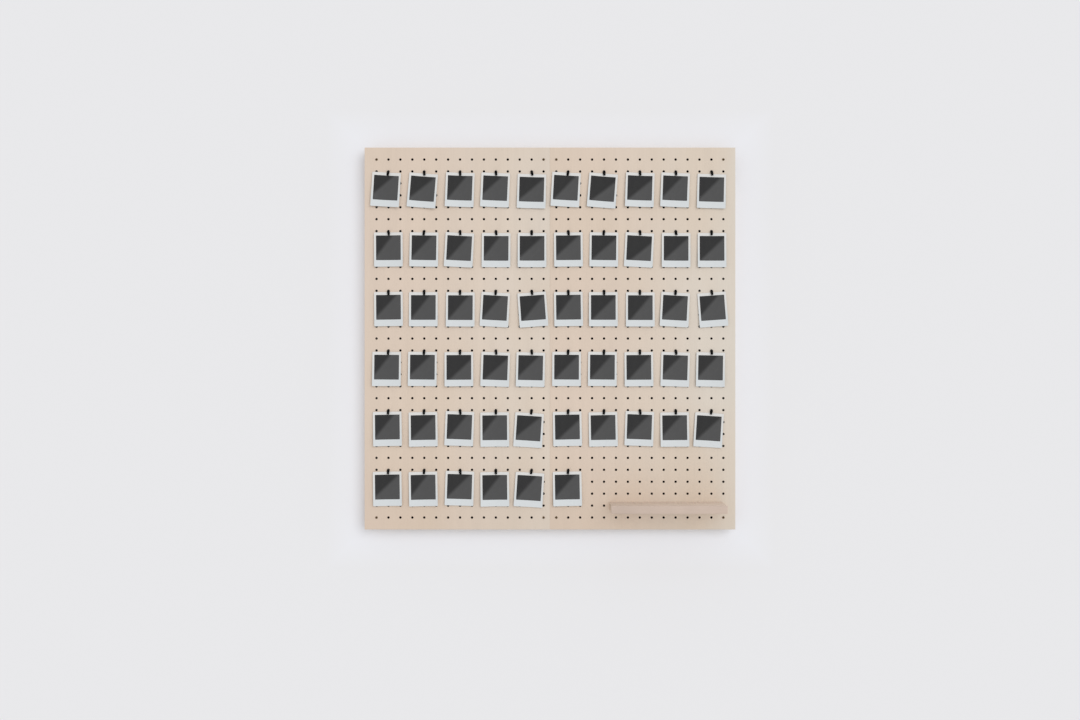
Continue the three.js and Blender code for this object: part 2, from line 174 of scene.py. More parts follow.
def ring_angles(sides):
    """Angles of the points of a ring."""
    return [2 * math.pi * i / sides for i in range(sides)]


def quarter_angles():
    """Angles over a quarter of a turn, from 0."""
    return [math.pi / 2 * i / QUARTER_STEPS for i in range(QUARTER_STEPS + 1)]


def border(rows):
    """The points round the edge of a grid that is given row by row."""
    right = [row[-1] for row in rows]
    left = [row[0] for row in rows]
    return rows[0][:-1] + right[:-1] + rows[-1][:0:-1] + left[:0:-1]


class Surface:
    """Points and faces of a mesh under construction."""

    def __init__(self):
        self.points = []
        self.faces = []
        self.finishes = []

    def add(self, points):
        """The numbers of these points, once added."""
        start = len(self.points)
        self.points.extend(points)
        return list(range(start, len(self.points)))

    def face(self, corners, finish=0):
        self.faces.append(corners)
        self.finishes.append(finish)

    def band(self, ring, next_ring, finish=0):
        """Faces between two closed rings of as many points."""
        count = len(ring)
        for i in range(count):
            j = (i + 1) % count
            self.face((ring[i], ring[j], next_ring[j], next_ring[i]), finish)

    def fan(self, ring, tip):
        """Faces between a closed ring and a point."""
        count = len(ring)
        for i in range(count):
            self.face((ring[i], ring[(i + 1) % count], tip))

    def tube(self, rings, first_tip, last_tip):
        """Faces along a row of rings, with a point to close each end."""
        start, end = self.add([first_tip, last_tip])
        self.fan(rings[0], start)
        self.fan(rings[-1], end)
        for ring, next_ring in zip(rings, rings[1:]):
            self.band(ring, next_ring)

    def mesh(self, name, finishes, sharp=SHARP):
        mesh = bpy.data.meshes.new(name)
        mesh.from_pydata(self.points, [], self.faces)
        mesh.polygons.foreach_set("material_index", self.finishes)
        return finished(mesh, finishes, sharp)


def finished(mesh, finishes, sharp):
    """mesh with its faces turned outwards, its edges shaded and its finishes."""
    work = bmesh.new()
    work.from_mesh(mesh)
    bmesh.ops.recalc_face_normals(work, faces=work.faces)
    work.to_mesh(mesh)
    work.free()
    mesh.shade_smooth()
    mesh.set_sharp_from_angle(angle=math.radians(sharp))
    for finish in finishes:
        mesh.materials.append(finish)
    return mesh


def turned(profile):
    """A round surface along +Y from (radius, y) points, the first and the last on the axis."""
    surface = Surface()
    (_, first), *middle, (_, last) = profile
    rings = []
    for radius, y in middle:
        points = [(radius * math.cos(a), y, radius * math.sin(a)) for a in ring_angles(ROUND_SIDES)]
        rings.append(surface.add(points))
    surface.tube(rings, (0, first, 0), (0, last, 0))
    return surface


def eased_bar(name, outline, low_x, high_x, ease, finishes, third_side):
    """A bar along X from its (y, z) outline, with eased edges.

    Its ends take the second finish, and the faces towards the third side take the third.
    """
    work = bmesh.new()
    ends = [[work.verts.new((x, y, z)) for y, z in outline] for x in (low_x, high_x)]
    work.faces.new(ends[0])
    work.faces.new(reversed(ends[1]))
    count = len(outline)
    for i in range(count):
        j = (i + 1) % count
        work.faces.new((ends[0][i], ends[0][j], ends[1][j], ends[1][i]))
    bmesh.ops.recalc_face_normals(work, faces=work.faces)
    bmesh.ops.bevel(
        work, geom=work.edges[:], offset=ease, segments=EASE_STEPS, profile=0.5, affect="EDGES"
    )
    for face in work.faces:
        if abs(face.normal.x) > END_FACING:
            face.material_index = 1
        elif face.normal.dot(third_side) > SIDE_FACING:
            face.material_index = 2
    mesh = bpy.data.meshes.new(name)
    work.to_mesh(mesh)
    work.free()
    return finished(mesh, finishes, sharp=60)


def cut(mesh, tools, sharp=SHARP):
    """mesh without the volume of each tool."""
    for tool in tools:
        body, cutter = (bpy.data.objects.new(part.name, part) for part in (mesh, tool))
        for part in (body, cutter):
            bpy.context.scene.collection.objects.link(part)
        change = body.modifiers.new("cut", "BOOLEAN")
        change.object = cutter
        change.solver = "EXACT"
        graph = bpy.context.evaluated_depsgraph_get()
        mesh = bpy.data.meshes.new_from_object(body.evaluated_get(graph))
        for part in (body, cutter):
            bpy.data.objects.remove(part)
    mesh.set_sharp_from_angle(angle=math.radians(sharp))
    return mesh


def add_piece(name, mesh, body, node, place=None):
    """A piece that stands for a node and rides on its body."""
    piece = bpy.data.objects.new(name, mesh)
    bpy.context.scene.collection.objects.link(piece)
    piece.matrix_world = place or Matrix.Identity(4)
    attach(piece, body)
    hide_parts(node)
    return piece


# Finishes


def tint(red, green, blue):
    """A colour from its sRGB values, 0 to 255."""
    shares = [value / 255 for value in (red, green, blue)]
    linear = [s / 12.92 if s <= 0.04045 else ((s + 0.055) / 1.055) ** 2.4 for s in shares]
    return (*linear, 1)


def grey(level):
    return (level, level, level, 1)


def dimmed(colour, share):
    """A colour with that share of its light."""
    return (*(share * channel for channel in colour[:3]), 1)


BACKDROP = tint(232, 232, 234)
PAINTED_COOL_BESIDE_BOARD = tint(236, 237, 242)  # painted cooler, lighter tone beside the board, which makes up for the warm light off the wood


class Finish:
    """A material under construction."""

    def __init__(self, name, sockets):
        self.material = bpy.data.materials.new(name)
        self.material.use_nodes = True
        self.tree = self.material.node_tree
        self.shader = self.tree.nodes["Principled BSDF"]
        self.set(self.shader, sockets)

    def set(self, node, sockets):
        """Link or write a value into each named socket of a node."""
        for key, value in sockets.items():
            if isinstance(value, bpy.types.NodeSocket):
                self.tree.links.new(value, node.inputs[key])
            else:
                node.inputs[key].default_value = value

    def node(self, kind, sockets, **settings):
        node = self.tree.nodes.new("ShaderNode" + kind)
        for key, value in settings.items():
            setattr(node, key, value)
        self.set(node, sockets)
        return node

    def place(self, scale=(1, 1, 1), shift=(0, 0, 0)):
        """The piece's own coordinates, scaled along each axis and shifted."""
        coordinates = self.node("TexCoord", {}).outputs["Object"]
        sockets = {"Vector": coordinates, "Scale": scale, "Location": shift}
        return self.node("Mapping", sockets).outputs[0]

    def axis(self, vector, name):
        return self.node("SeparateXYZ", {0: vector}).outputs[name]

    def noise(self, vector, scale, detail=2, roughness=0.5, distortion=0):
        sockets = {"Vector": vector, "Scale": scale, "Detail": detail}
        sockets |= {"Roughness": roughness, "Distortion": distortion}
        return self.node("TexNoise", sockets).outputs[0]

    def maths(self, operation, first, second=0):
        return self.node("Math", {0: first, 1: second}, operation=operation).outputs[0]

    def span(self, value, low, high, to_low=0, to_high=1):
        """value from low to high as a share from to_low to to_high, eased at both ends."""
        sockets = {"Value": value, "From Min": low, "From Max": high}
        sockets |= {"To Min": to_low, "To Max": to_high}
        return self.node("MapRange", sockets, interpolation_type="SMOOTHSTEP").outputs[0]

    def ramp(self, value, stops):
        """The colour of a value, from (value, colour) stops."""
        node = self.node("ValToRGB", {0: value})
        elements = node.color_ramp.elements
        while len(elements) < len(stops):
            elements.new(1)
        for element, (position, colour) in zip(elements, stops):
            element.position = position
            element.color = colour
        return node.outputs[0]

    def mix(self, share, low, high, blend_type="MIX"):
        sockets = {0: share, 6: low, 7: high}
        return self.node("Mix", sockets, data_type="RGBA", blend_type=blend_type).outputs[2]

    def shade(self, colour, value, *stops):
        """colour times the grey of a value, from (value, grey level) stops."""
        greys = self.ramp(value, [(position, grey(level)) for position, level in stops])
        return self.mix(1, colour, greys, "MULTIPLY")

    def attribute(self, name):
        return self.node("Attribute", {}, attribute_name=name).outputs["Fac"]

    def bump(self, height, distance, strength):
        sockets = {"Height": height, "Distance": distance, "Strength": strength}
        self.set(self.shader, {"Normal": self.node("Bump", sockets).outputs[0]})


def add_grain(finish, colour, along, shift, depth):
    """colour with the fibres, pores and slow streaks of wood that runs along an axis."""
    def stretched(factor):
        scale = [1, 1, 1]
        scale["XYZ".index(along)] = 1 / factor
        return finish.place(scale, shift)

    streaks = finish.noise(stretched(14), 26, detail=4, roughness=0.6, distortion=0.4)
    fibres = finish.noise(stretched(45), 700, detail=3, roughness=0.6)
    pores = finish.noise(stretched(16), 1500, detail=1)
    streaked = finish.shade(colour, streaks, (0.3, 1 - depth), (0.7, 1))
    fibred = finish.shade(streaked, fibres, (0.3, 1 - 0.8 * depth), (0.72, 1))
    flecks = finish.ramp(pores, [(0.26, grey(1 - 2.2 * depth)), (0.34, grey(1))])
    finish.set(finish.shader, {
        "Base Color": finish.mix(1, fibred, flecks, "MULTIPLY"),
        "Roughness": finish.span(fibres, 0.3, 0.7, 0.5, 0.64),
    })
    finish.bump(finish.maths("MULTIPLY", fibres, flecks), 0.12 * MM, 0.5)


def veneer(name, shift, right_side):
    """Pale birch face of a panel, pinker on its left, greyer on its right and darker at its foot."""
    finish = Finish(name, {"Specular IOR Level": 0.3})
    across = finish.span(finish.axis(finish.place(), "X"), -160 * MM, 260 * MM)
    side = finish.mix(across, tint(222, 204, 188), right_side)
    cloud = finish.noise(finish.place((1, 1, 0.5), shift), 5, detail=2)
    warm = finish.mix(finish.span(cloud, 0.35, 0.75, 0, 0.6), side, tint(220, 202, 183))
    # darker towards the foot of the panel
    up = finish.span(finish.axis(finish.place(), "Z"), -480 * MM, -200 * MM)
    darker_at_foot = finish.mix(1, warm, finish.mix(up, tint(249, 247, 245), grey(1)), "MULTIPLY")
    add_grain(finish, darker_at_foot, "Z", shift, 0.05)
    return finish.material


def ply_edge(name, thickness):
    """Stacked veneers on the edges of a panel."""
    finish = Finish(name, {"Roughness": 0.75, "Specular IOR Level": 0.25})
    ply = thickness / PLY_COUNT
    waver = finish.maths("MULTIPLY", finish.noise(finish.place(), 40, detail=2), 0.3 * ply)
    depth = finish.maths("ADD", finish.axis(finish.place(), "Y"), waver)
    turn = finish.maths("FRACT", finish.maths("DIVIDE", depth, 2 * ply))
    pale, dark, glue = tint(222, 202, 176), tint(186, 156, 124), tint(122, 92, 66)
    layers = finish.ramp(turn, [
        (0, glue), (0.03, pale), (0.46, pale), (0.49, glue), (0.53, dark), (0.96, dark), (1, glue),
    ])
    fibres = finish.noise(finish.place((1, 0.2, 1)), 900, detail=3)
    finish.set(finish.shader, {"Base Color": finish.shade(layers, fibres, (0.3, 0.84), (0.7, 1))})
    finish.bump(fibres, 0.1 * MM, 0.5)
    return finish.material


def scorched_with_painted_shade(name):
    """Inside of a drilled hole, browned by the drill and darkened further as painted shade."""
    finish = Finish(name, {"Roughness": 0.85, "Specular IOR Level": 0.1})
    marks = finish.noise(finish.place((1, 6, 1)), 500, detail=3)
    finish.set(finish.shader, {"Base Color": finish.mix(marks, tint(26, 18, 11), tint(52, 37, 25))})
    finish.bump(marks, 0.1 * MM, 0.5)
    return finish.material


def sawn_wood(name, colour, along, shift, depth):
    """Long faces of a bar of wood, a little cloudy."""
    finish = Finish(name, {"Specular IOR Level": 0.3})
    cloud = finish.span(finish.noise(finish.place((1, 1, 1), shift), 9, detail=2), 0.3, 0.75)
    add_grain(finish, finish.mix(cloud, colour, dimmed(colour, 0.9)), along, shift, depth)
    return finish.material


def end_grain(name, colour, shift):
    """Growth rings across the end of a bar along X."""
    finish = Finish(name, {"Roughness": 0.75, "Specular IOR Level": 0.2})
    place = finish.place((0, 1, 1), shift)
    wave = finish.node("TexWave", {
        "Vector": place, "Scale": 90, "Distortion": 2, "Detail": 2, "Detail Scale": 1.5,
    }, wave_type="RINGS", rings_direction="X")
    rings = finish.mix(finish.span(wave.outputs["Fac"], 0.2, 0.9), dimmed(colour, 0.72), colour)
    pores = finish.noise(place, 1400, detail=2)
    finish.set(finish.shader, {"Base Color": finish.shade(rings, pores, (0.35, 0.8), (0.6, 1))})
    finish.bump(pores, 0.1 * MM, 0.4)
    return finish.material


def card_white():
    """Smooth white card, a little bluer towards its lower border."""
    finish = Finish("card_white", {"Specular IOR Level": 0.35})
    up = finish.span(finish.axis(finish.place(), "Z"), -0.82 * CARD_HEIGHT, -0.2 * CARD_HEIGHT)
    tone = finish.mix(up, tint(213, 217, 219), tint(220, 219, 217))
    mottle = finish.noise(finish.place(), 220, detail=3)
    pulp = finish.noise(finish.place(), 2600, detail=2)
    finish.set(finish.shader, {
        "Base Color": finish.shade(tone, mottle, (0.3, 0.97), (0.7, 1)),
        "Roughness": finish.span(pulp, 0.3, 0.7, 0.38, 0.5),
    })
    finish.bump(pulp, 0.03 * MM, 0.4)
    return finish.material


def picture_dark():
    """Dark glossy picture with one corner lightened by a painted reflection, and a darker line round
    its edge.
    """
    finish = Finish("picture_dark", {
        "Specular IOR Level": 0.3, "Coat Weight": 0.2, "Coat Roughness": 0.08,
    })
    # painted reflection: the corner beyond the line is painted lighter in the base colour
    painted_sheen = finish.span(finish.attribute("painted_sheen"), -0.08, 0.09)
    mottle = finish.noise(finish.place(), 60, detail=2)
    dark = finish.mix(mottle, tint(34, 34, 35), tint(42, 42, 42))
    light = finish.mix(mottle, tint(72, 72, 72), tint(78, 78, 79))
    tone = finish.mix(painted_sheen, dark, light)
    finish.set(finish.shader, {
        "Base Color": finish.shade(tone, finish.attribute("rim"), (0, 1), (1, 0.55)),
        "Roughness": finish.span(mottle, 0.3, 0.7, 0.18, 0.26),
    })
    return finish.material


def peg_black():
    """Matt black coating."""
    finish = Finish("peg_black", {"Specular IOR Level": 0.1})
    grains = finish.noise(finish.place(), 3000, detail=2)
    finish.set(finish.shader, {
        "Base Color": finish.mix(grains, tint(5, 5, 5), tint(13, 12, 12)),
        "Roughness": finish.span(grains, 0.3, 0.7, 0.5, 0.65),
    })
    finish.bump(grains, 0.04 * MM, 0.5)
    return finish.material


def metal(name, bright, dull, roughness, scale):
    """Metal with fine turning marks across its axis."""
    finish = Finish(name, {"Metallic": 1})
    marks = finish.noise(finish.place((1, 12, 1)), scale, detail=3)
    finish.set(finish.shader, {
        "Base Color": finish.mix(finish.span(marks, 0.3, 0.75), dull, bright),
        "Roughness": finish.span(marks, 0.3, 0.7, roughness - 0.06, roughness + 0.1),
    })
    finish.bump(marks, 0.02 * MM, 0.3)
    return finish.material


# Panels


def hole_places(side):
    """Places across and places down of a panel's holes."""
    low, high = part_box("panel_" + side)
    reach = (PANEL_COLUMNS - 1) * PITCH
    left = low.x + EDGE_MARGIN if side == "left" else high.x - EDGE_MARGIN - reach
    across = [left + i * PITCH for i in range(PANEL_COLUMNS)]
    down = [high.z - EDGE_MARGIN - i * PITCH for i in range(PANEL_ROWS)]
    return across, down


def between(places, low, high):
    """Lines from low to high, halfway between the places."""
    return [low, *((a + b) / 2 for a, b in zip(places, places[1:])), high]


def panel_surface(size, columns, rows):
    """A panel about its own centre, drilled at each column and row."""
    surface = Surface()
    half = size / 2
    lines_x = between(columns, -half.x, half.x)
    lines_z = between(rows, -half.z, half.z)

    def grid(y, ease):
        """Where the lines cross at a depth, with the outer ones drawn in by an ease."""
        xs = [max(ease - half.x, min(half.x - ease, x)) for x in lines_x]
        zs = [max(ease - half.z, min(half.z - ease, z)) for z in lines_z]
        return [[(x, y, z) for x in xs] for z in zs]

    front, back = ([surface.add(row) for row in grid(y, PANEL_EASE)] for y in (-half.y, half.y))
    depth = half.y - PANEL_EASE
    outer = [surface.add(border(grid(y, 0))) for y in (-depth, depth)]
    rims = [border(front), *outer, border(back)]
    for finish, ring, next_ring in zip((FACE, EDGE, FACE), rims, rims[1:]):
        surface.band(next_ring, ring, finish)

    for i, x in enumerate(columns):
        for j, z in enumerate(rows):
            screwed = x in (columns[0], columns[-1]) and z in (rows[0], rows[-1])
            rings = add_hole(surface, x, z, SCREW_HOLE_RADIUS if screwed else HOLE_RADIUS, half.y)
            for corners, ring in ((front, rings[0]), (back, rings[-1])):
                add_cell(surface, ring, [
                    corners[j + 1][i + 1], corners[j + 1][i], corners[j][i], corners[j][i + 1],
                ])
    return surface


def add_hole(surface, x, z, radius, half_depth):
    """The rings of a hole with eased ends, from the front to the back."""
    wide = radius + HOLE_EASE
    eased = half_depth - HOLE_EASE
    rings = []
    for r, y in ((wide, -half_depth), (radius, -eased), (radius, eased), (wide, half_depth)):
        points = [(x + r * math.cos(a), y, z + r * math.sin(a)) for a in ring_angles(HOLE_SIDES)]
        rings.append(surface.add(points))
    for ring, next_ring in zip(rings, rings[1:]):
        surface.band(ring, next_ring, HOLE)
    return rings


def add_cell(surface, ring, corners):
    """Faces between a hole's ring and the four corners round it, both from the right, upwards."""
    quarter = len(ring) // len(corners)
    for side, corner in enumerate(corners):
        start = side * quarter
        for i in range(start, start + quarter):
            surface.face((ring[i], corner, ring[(i + 1) % len(ring)]))
        surface.face((ring[start], corners[side - 1], corner))


def lay_out(mesh, size):
    """A flat map with a panel's front and back side by side, and its edges and holes in a strip."""
    layer = mesh.uv_layers.new(name="OFBake")
    scale = MAP_FILL / size.z
    width = size.x * scale
    margin = (1 - 2 * width - size.y * scale) / 4
    starts = {-1: margin, 1: 2 * margin + width, 0: 3 * margin + 2 * width}
    for face in mesh.polygons:
        flat = round(face.normal.y) if face.material_index == FACE else 0
        upright = abs(face.normal.x) > abs(face.normal.z)
        for loop in face.loop_indices:
            point = mesh.vertices[mesh.loops[loop].vertex_index].co
            along = point.z / size.z if flat or upright else point.x / size.z
            across = point.x / size.x + 0.5 if flat else (point.y / size.y + 0.5) * size.y / size.x
            layer.data[loop].uv = (starts[flat] + across * width, 0.5 + MAP_FILL * along)


def add_panels():
    for side, shift, right_side in (
        ("left", (0, 0, 0), tint(222, 210, 197)),
        ("right", (3.1, 1.7, 0.6), tint(222, 213, 201)),
    ):
        node = "panel_" + side
        low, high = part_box(node)
        size, centre = high - low, (low + high) / 2
        across, down = hole_places(side)
        columns = [x - centre.x for x in across]
        rows = sorted(z - centre.z for z in down)
        finishes = [
            veneer("birch_face_" + side, shift, right_side),
            ply_edge("birch_edge_" + side, size.y),
            scorched_with_painted_shade("hole_" + side),
        ]
        mesh = panel_surface(size, columns, rows).mesh(node + "_board", finishes, sharp=30)
        lay_out(mesh, size)
        add_piece(node + "_board", mesh, "board", node, Matrix.Translation(centre))


# Cards, pictures and pegs


def card_bow(draw):
    """How far a card stands off the panel at a place across and down it, with nothing at the peg."""
    lift = draw.uniform(*CARD_LIFT)
    curl = draw.uniform(*CARD_CURL)
    twist = draw.uniform(-CARD_TWIST, CARD_TWIST)

    def stand_off(x, z):
        across = 2 * x / CARD_WIDTH
        down = -z / CARD_HEIGHT
        return lift * down ** CARD_LIFT_POWER + curl * across ** 2 + twist * across * down

    return stand_off


def closer_at_ends(low, high, end, steps):
    """Lines from low to high in even steps, with two finer ones at each end."""
    inner = [low + end + (high - low - 2 * end) * i / steps for i in range(steps + 1)]
    return [low, low + end / 2, *inner, high - end / 2, high]


def rounded(x, z, half_width, half_height, corner):
    """A place on a plain grid, drawn in so that the grid's corners are round."""
    over_x = abs(x) - half_width + corner
    over_z = abs(z) - half_height + corner
    if over_x <= 0 or over_z <= 0:
        return x, z
    reach = max(over_x, over_z) / math.hypot(over_x, over_z)
    new_x = half_width - corner + over_x * reach
    new_z = half_height - corner + over_z * reach
    return math.copysign(new_x, x), math.copysign(new_z, z)


def bowed_sheet(width, top, height, corner, steps, gap, thickness, bow):
    """A thin sheet with round corners, gap in front of the panel at the peg, that follows a bow."""
    surface = Surface()
    middle = top - height / 2
    lines_x = closer_at_ends(-width / 2, width / 2, corner, steps[0])
    lines_z = closer_at_ends(-height / 2, height / 2, corner, steps[1])
    sides = []
    for stand in (gap + thickness, gap):
        rows = []
        for line_z in lines_z:
            places = [rounded(line_x, line_z, width / 2, height / 2, corner) for line_x in lines_x]
            rows.append(surface.add([(x, -stand - bow(x, middle + z), middle + z) for x, z in places]))
        sides.append(rows)
    for j in range(len(lines_z) - 1):
        for i in range(len(lines_x) - 1):
            for rows in sides:
                surface.face((rows[j][i], rows[j][i + 1], rows[j + 1][i + 1], rows[j + 1][i]))
    front, back = sides
    surface.band(border(back), border(front))
    return surface


def write_values(mesh, name, value_at):
    """A value for each point of a mesh, which its finish reads."""
    layer = mesh.attributes.new(name, "FLOAT", "POINT")
    layer.data.foreach_set("value", [value_at(vertex.co) for vertex in mesh.vertices])


def write_picture_values(mesh, draw):
    """How far each point lies past the line of the painted reflection, and how near the picture's
    edge.
    """
    foot = draw.triangular(*PAINTED_SHEEN_FOOT)
    slope = math.radians(draw.uniform(*PAINTED_SHEEN_SLOPE))
    across, up = math.sin(slope), math.cos(slope)
    bottom = -PICTURE_TOP - PICTURE_SIZE

    def painted_sheen(point):
        share_x = point.x / PICTURE_SIZE + 0.5
        share_z = (point.z - bottom) / PICTURE_SIZE - foot
        return share_x * across - share_z * up

    def rim(point):
        inside_x = PICTURE_SIZE / 2 - abs(point.x)
        inside_z = PICTURE_SIZE / 2 - abs(point.z - bottom - PICTURE_SIZE / 2)
        return max(0, 1 - min(inside_x, inside_z) / PICTURE_RIM)

    write_values(mesh, "painted_sheen", painted_sheen)
    write_values(mesh, "rim", rim)


def peg_sections():
    """(y, z, outward y, outward z, half width, half depth) of a peg's rings, from tail to tip."""
    panel_low, panel_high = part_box("panel_left")
    tail = panel_high.y - panel_low.y + PEG_TAIL
    leg = -PEG_LEG_GAP - PEG_RADIUS
    bend = PEG_RADIUS + PEG_CREASE
    elbow = leg + bend
    thin = PEG_RADIUS - PEG_CHAMFER
    wide = PEG_RADIUS + PEG_SWELL
    sections = [
        (tail, 0, 0, 1, thin, thin),
        (tail - PEG_CHAMFER, 0, 0, 1, PEG_RADIUS, PEG_RADIUS),
        (PEG_SWELL_START * elbow, 0, 0, 1, PEG_RADIUS, PEG_RADIUS),
        (elbow / 2, 0, 0, 1, (PEG_RADIUS + wide) / 2, PEG_RADIUS),
    ]
    for angle in quarter_angles():
        y, z = elbow - bend * math.sin(angle), bend * (math.cos(angle) - 1)
        sections.append((y, z, -math.sin(angle), math.cos(angle), wide, PEG_RADIUS))
    for angle in quarter_angles():
        z = PEG_ROUNDING * (1 - math.sin(angle)) - PEG_REACH
        half_depth = PEG_RADIUS - PEG_ROUNDING * (1 - math.cos(angle))
        sections.append((leg, z, -1, 0, half_depth + PEG_LEG_SWELL, half_depth))
    return sections


def peg_mesh(finish):
    """A peg about its hole's centre on the panels' front, with its leg straight down."""
    surface = Surface()
    sections = peg_sections()
    rings = []
    for y, z, out_y, out_z, half_width, half_depth in sections:
        points = []
        for angle in ring_angles(PEG_SIDES):
            depth = half_depth * math.cos(angle)
            points.append((half_width * math.sin(angle), y + depth * out_y, z + depth * out_z))
        rings.append(surface.add(points))
    tail_y, tail_z = sections[0][:2]
    tip_y, tip_z = sections[-1][:2]
    surface.tube(rings, (0, tail_y, tail_z), (0, tip_y, tip_z))
    return surface.mesh("peg", [finish])


def hang_places():
    """(row, column, card's place, peg's place) of each card, counted from 1."""
    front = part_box("panel_left")[0].y
    places = []
    for row, hangs in enumerate(HANGS):
        for column in range(2 * len(hangs)):
            if row == len(HANGS) - 1 and column >= LOOSE_CARDS:
                break
            across, down = hole_places("left" if column < len(hangs) else "right")
            on_panel = column % len(hangs)
            x = across[CARD_HOLE_COLUMNS // 2 + on_panel * CARD_HOLE_COLUMNS]
            z = down[FIRST_PEG_ROW + row * CARD_HOLE_ROWS]
            tilt, shift, drop, lean = hangs[on_panel]
            card = Matrix.Translation((x + shift * MM, front, z - CARD_DROP - drop * MM))
            peg = Matrix.Translation((x, front, z))
            places.append((
                row + 1,
                column + 1,
                card @ Matrix.Rotation(math.radians(tilt), 4, "Y"),
                peg @ Matrix.Rotation(math.radians(lean), 4, "Y"),
            ))
    return places


def add_photos():
    draw = random.Random(SEED)
    white, dark = card_white(), picture_dark()
    peg_shape = peg_mesh(peg_black())
    for row, column, card_place, peg_place in hang_places():
        label = f"_r{row}_c{column}"
        bow = card_bow(draw)
        card = bowed_sheet(
            CARD_WIDTH, 0, CARD_HEIGHT, CARD_CORNER, CARD_STEPS, CARD_GAP, CARD_THICKNESS, bow
        ).mesh("card" + label, [white])
        picture = bowed_sheet(
            PICTURE_SIZE, -PICTURE_TOP, PICTURE_SIZE, PICTURE_RIM, PICTURE_STEPS,
            CARD_GAP + CARD_THICKNESS, PICTURE_THICKNESS, bow,
        ).mesh("picture" + label, [dark])
        write_picture_values(picture, draw)
        if row < len(HANGS):
            photo_body = peg_body = "board"
            nodes = [f"photo_cards_row_{row}", f"pictures_row_{row}", f"pegs_row_{row}"]
        else:
            photo_body, peg_body = f"photo_{row}_{column}", f"peg_{row}_{column}"
            nodes = [f"{kind}_{row}_{column}" for kind in ("photo_card", "picture", "peg")]
        card_node, picture_node, peg_node = nodes
        add_piece("card" + label, card, photo_body, card_node, card_place)
        add_piece("picture" + label, picture, photo_body, picture_node, card_place)
        add_piece("peg" + label, peg_shape, peg_body, peg_node, peg_place)


# Shelf and its pins


def add_shelf():
    low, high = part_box("shelf_plank")
    centre, half = (low + high) / 2, (high - low) / 2
    # painted light: the top and the ends take lighter colours than the front, as if lit more
    finishes = [
        sawn_wood("shelf_wood", tint(212, 192, 178), "X", (0.4, 0.2, 0.9), 0.07),
        end_grain("shelf_end_painted_light", tint(246, 224, 203), (0, 0.05, 0.03)),
        sawn_wood("shelf_top_painted_light", tint(231, 212, 197), "X", (0.4, 0.2, 0.9), 0.07),
    ]
    outline = [(-half.y, -half.z), (half.y, -half.z), (half.y, half.z), (-half.y, half.z)]
    upwards = Vector((0, 0, 1))
    mesh = eased_bar("shelf_board", outline, -half.x, half.x, SHELF_EASE, finishes, upwards)
    place = Matrix.Translation(centre)
    return add_piece("shelf_board", mesh, "shelf", "shelf_plank", place)


def add_shelf_pins():
    steel = metal("pin_steel", tint(190, 190, 192), tint(160, 160, 163), 0.3, 900)
    for side in ("left", "right"):
        node = "shelf_pin_" + side
        low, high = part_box(node)
        centre, half = (low + high) / 2, (high - low) / 2
        radius, end = half.z, half.y
        profile = [(0, -end), (radius - PIN_CHAMFER, -end), (radius, PIN_CHAMFER - end)]
        profile += [(r, -y) for r, y in reversed(profile)]
        mesh = turned(profile).mesh(node + "_dowel", [steel], sharp=25)
        add_piece(node + "_dowel", mesh, "shelf", node, Matrix.Translation(centre))


# Battens and cleat


def bar_outline(node):
    """(y, z) corners of a node that runs along X, in order round its middle."""
    corners = []
    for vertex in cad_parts[node].data.vertices:
        corners.append(tuple(round(place, PLACE_DIGITS) for place in vertex.co.yz))
    sides = []
    for side_y in (min(corners)[0], max(corners)[0]):
        zs = [z for y, z in corners if y == side_y]
        sides.append(((side_y, min(zs)), (side_y, max(zs))))
    (front_low, front_high), (back_low, back_high) = sides
    return [front_low, back_low, back_high, front_high]


def cleat_drills():
    """Drills for the cleat's countersunk holes, in a row along X."""
    low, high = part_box("wall_cleat")
    front, back = low.y - OVERSHOOT, high.y + OVERSHOOT
    sink = CLEAT_SINK_RADIUS - CLEAT_HOLE_RADIUS
    profile = [
        (0, front), (CLEAT_SINK_RADIUS + OVERSHOOT, front), (CLEAT_HOLE_RADIUS, low.y + sink),
        (CLEAT_HOLE_RADIUS, back), (0, back),
    ]
    span = high.x - low.x - 2 * CLEAT_HOLE_INSET
    drills = []
    for i in range(CLEAT_HOLES):
        drill = turned(profile).mesh("drill", [])
        drill.transform(Matrix.Translation((span * (i / (CLEAT_HOLES - 1) - 0.5), 0, 0)))
        drills.append(drill)
    return drills


def add_battens():
    """The two battens and the cleat, stained dark where the holes show them, a staining that also
    serves as painted shade behind the holes.
    """
    colour = tint(214, 188, 152)
    end = end_grain("batten_end", tint(206, 176, 138), (0, 0.04, 0.02))
    # painted shade: faces towards the panel are stained near black, so the holes in front of them look
    # dark
    stain_as_painted_shade = sawn_wood("dark_stain_painted_shade", tint(30, 24, 19), "X", (0.7, 0.3, 0.5), 0.09)
    forwards = Vector((0, -1, 0))
    for node, body, shift in (
        ("hanging_batten", "board", (0, 0.3, 0)),
        ("spacer_batten", "board", (0.7, 0.3, 0.5)),
        ("wall_cleat", "wall_cleat", (1.9, 0.3, 1.4)),
    ):
        low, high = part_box(node)
        finishes = [sawn_wood("pine_" + node, colour, "X", shift, 0.09), end, stain_as_painted_shade]
        name = node + "_bar"
        bar = eased_bar(name, bar_outline(node), low.x, high.x, BATTEN_EASE, finishes, forwards)
        if node == "wall_cleat":
            bar = cut(bar, cleat_drills())
        add_piece(name, bar, body, node)


# Screws


def slot_cutters():
    """Two bars that cut the cross into a screw's head."""
    width, length, depth = SCREW_SLOT
    cutters = []
    for across, up in ((width, length), (length, width)):
        work = bmesh.new()
        bmesh.ops.create_cube(work, size=1)
        cutter = bpy.data.meshes.new("slot")
        work.to_mesh(cutter)
        work.free()
        place = Matrix.Translation((0, -SCREW_HEAD_HEIGHT, 0))
        cutter.transform(place @ Matrix.Diagonal((across, 2 * depth, up, 1)))
        cutters.append(cutter)
    return cutters


